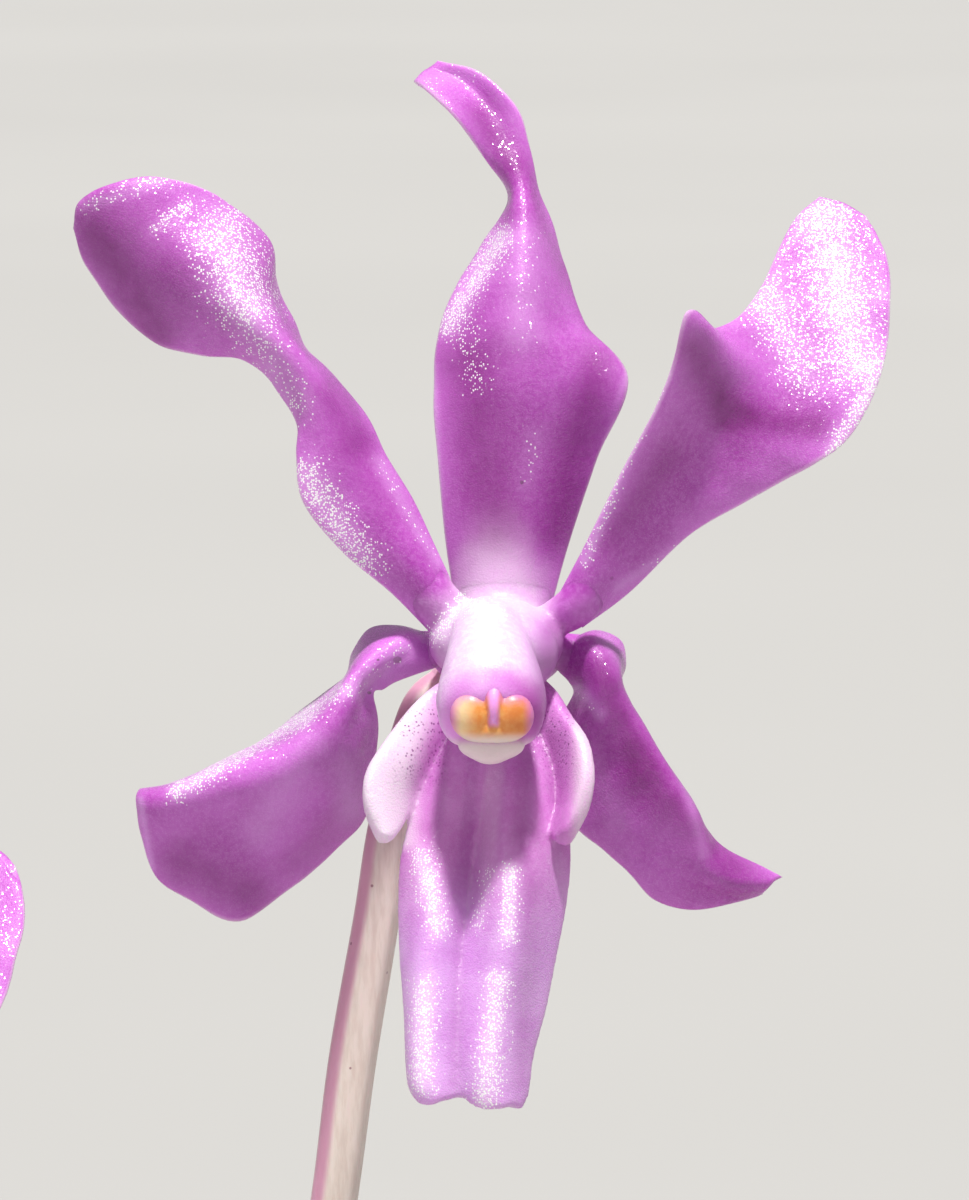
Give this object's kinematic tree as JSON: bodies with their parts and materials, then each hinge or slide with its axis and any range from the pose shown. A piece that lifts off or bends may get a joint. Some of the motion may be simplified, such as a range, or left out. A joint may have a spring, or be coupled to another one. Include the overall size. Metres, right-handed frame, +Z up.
{
  "type": "potted mini vanda orchid",
  "caption": "Small vanda orchid in a plain clay pot, with strap leaves in two rows, aerial roots and a spray of purple blooms on a leaning stalk.",
  "frame": {"origin": "centre of the pot's flat base", "axes": "+Z up along the pot's axis, -Y towards the viewer of the open bloom, +X to the viewer's right, along the two rows of leaves"},
  "size_m": [0.1692, 0.0791, 0.2025],
  "materials": {
    "clay": "matte, unglazed",
    "bark": "rough, dry",
    "stem_green": "satin, with dry leaf bases",
    "leaf_green": "satin",
    "root_silver": "matte, silvery, with green tips",
    "stalk_green": "satin",
    "tepal_purple": "satin, with glinting cells and pale edges",
    "lip_lilac": "satin, dotted side lobes",
    "column_white": "waxy",
    "anther_orange": "waxy",
    "pedicel_pale": "satin",
    "bud_mauve": "satin"
  },
  "bodies": {
    "root": {"pot": "clay", "bark_bed": "bark", "stem": "stem_green", "leaf_1": "leaf_green", "leaf_2": "leaf_green", "leaf_3": "leaf_green", "leaf_4": "leaf_green", "leaf_5": "leaf_green", "leaf_6": "leaf_green", "leaf_7": "leaf_green", "leaf_8": "leaf_green", "root_1": "root_silver", "root_2": "root_silver", "root_3": "root_silver", "root_4": "root_silver", "root_5": "root_silver", "flower_stalk": "stalk_green", "bud_1": "bud_mauve", "bud_2": "bud_mauve", "dorsal_sepal": "tepal_purple", "left_petal": "tepal_purple", "right_petal": "tepal_purple", "left_sepal": "tepal_purple", "right_sepal": "tepal_purple", "lip": "lip_lilac", "column": "column_white", "anther_cap": "anther_orange", "pedicel": "pedicel_pale", "bloom_2_tepals": "tepal_purple", "bloom_2_lip": "lip_lilac", "bloom_2_column": "column_white", "bloom_2_pedicel": "pedicel_pale", "bloom_3_tepals": "tepal_purple", "bloom_3_lip": "lip_lilac", "bloom_3_column": "column_white", "bloom_3_pedicel": "pedicel_pale", "bloom_4_tepals": "tepal_purple", "bloom_4_lip": "lip_lilac", "bloom_4_column": "column_white", "bloom_4_pedicel": "pedicel_pale"}
  },
  "joints": []
}
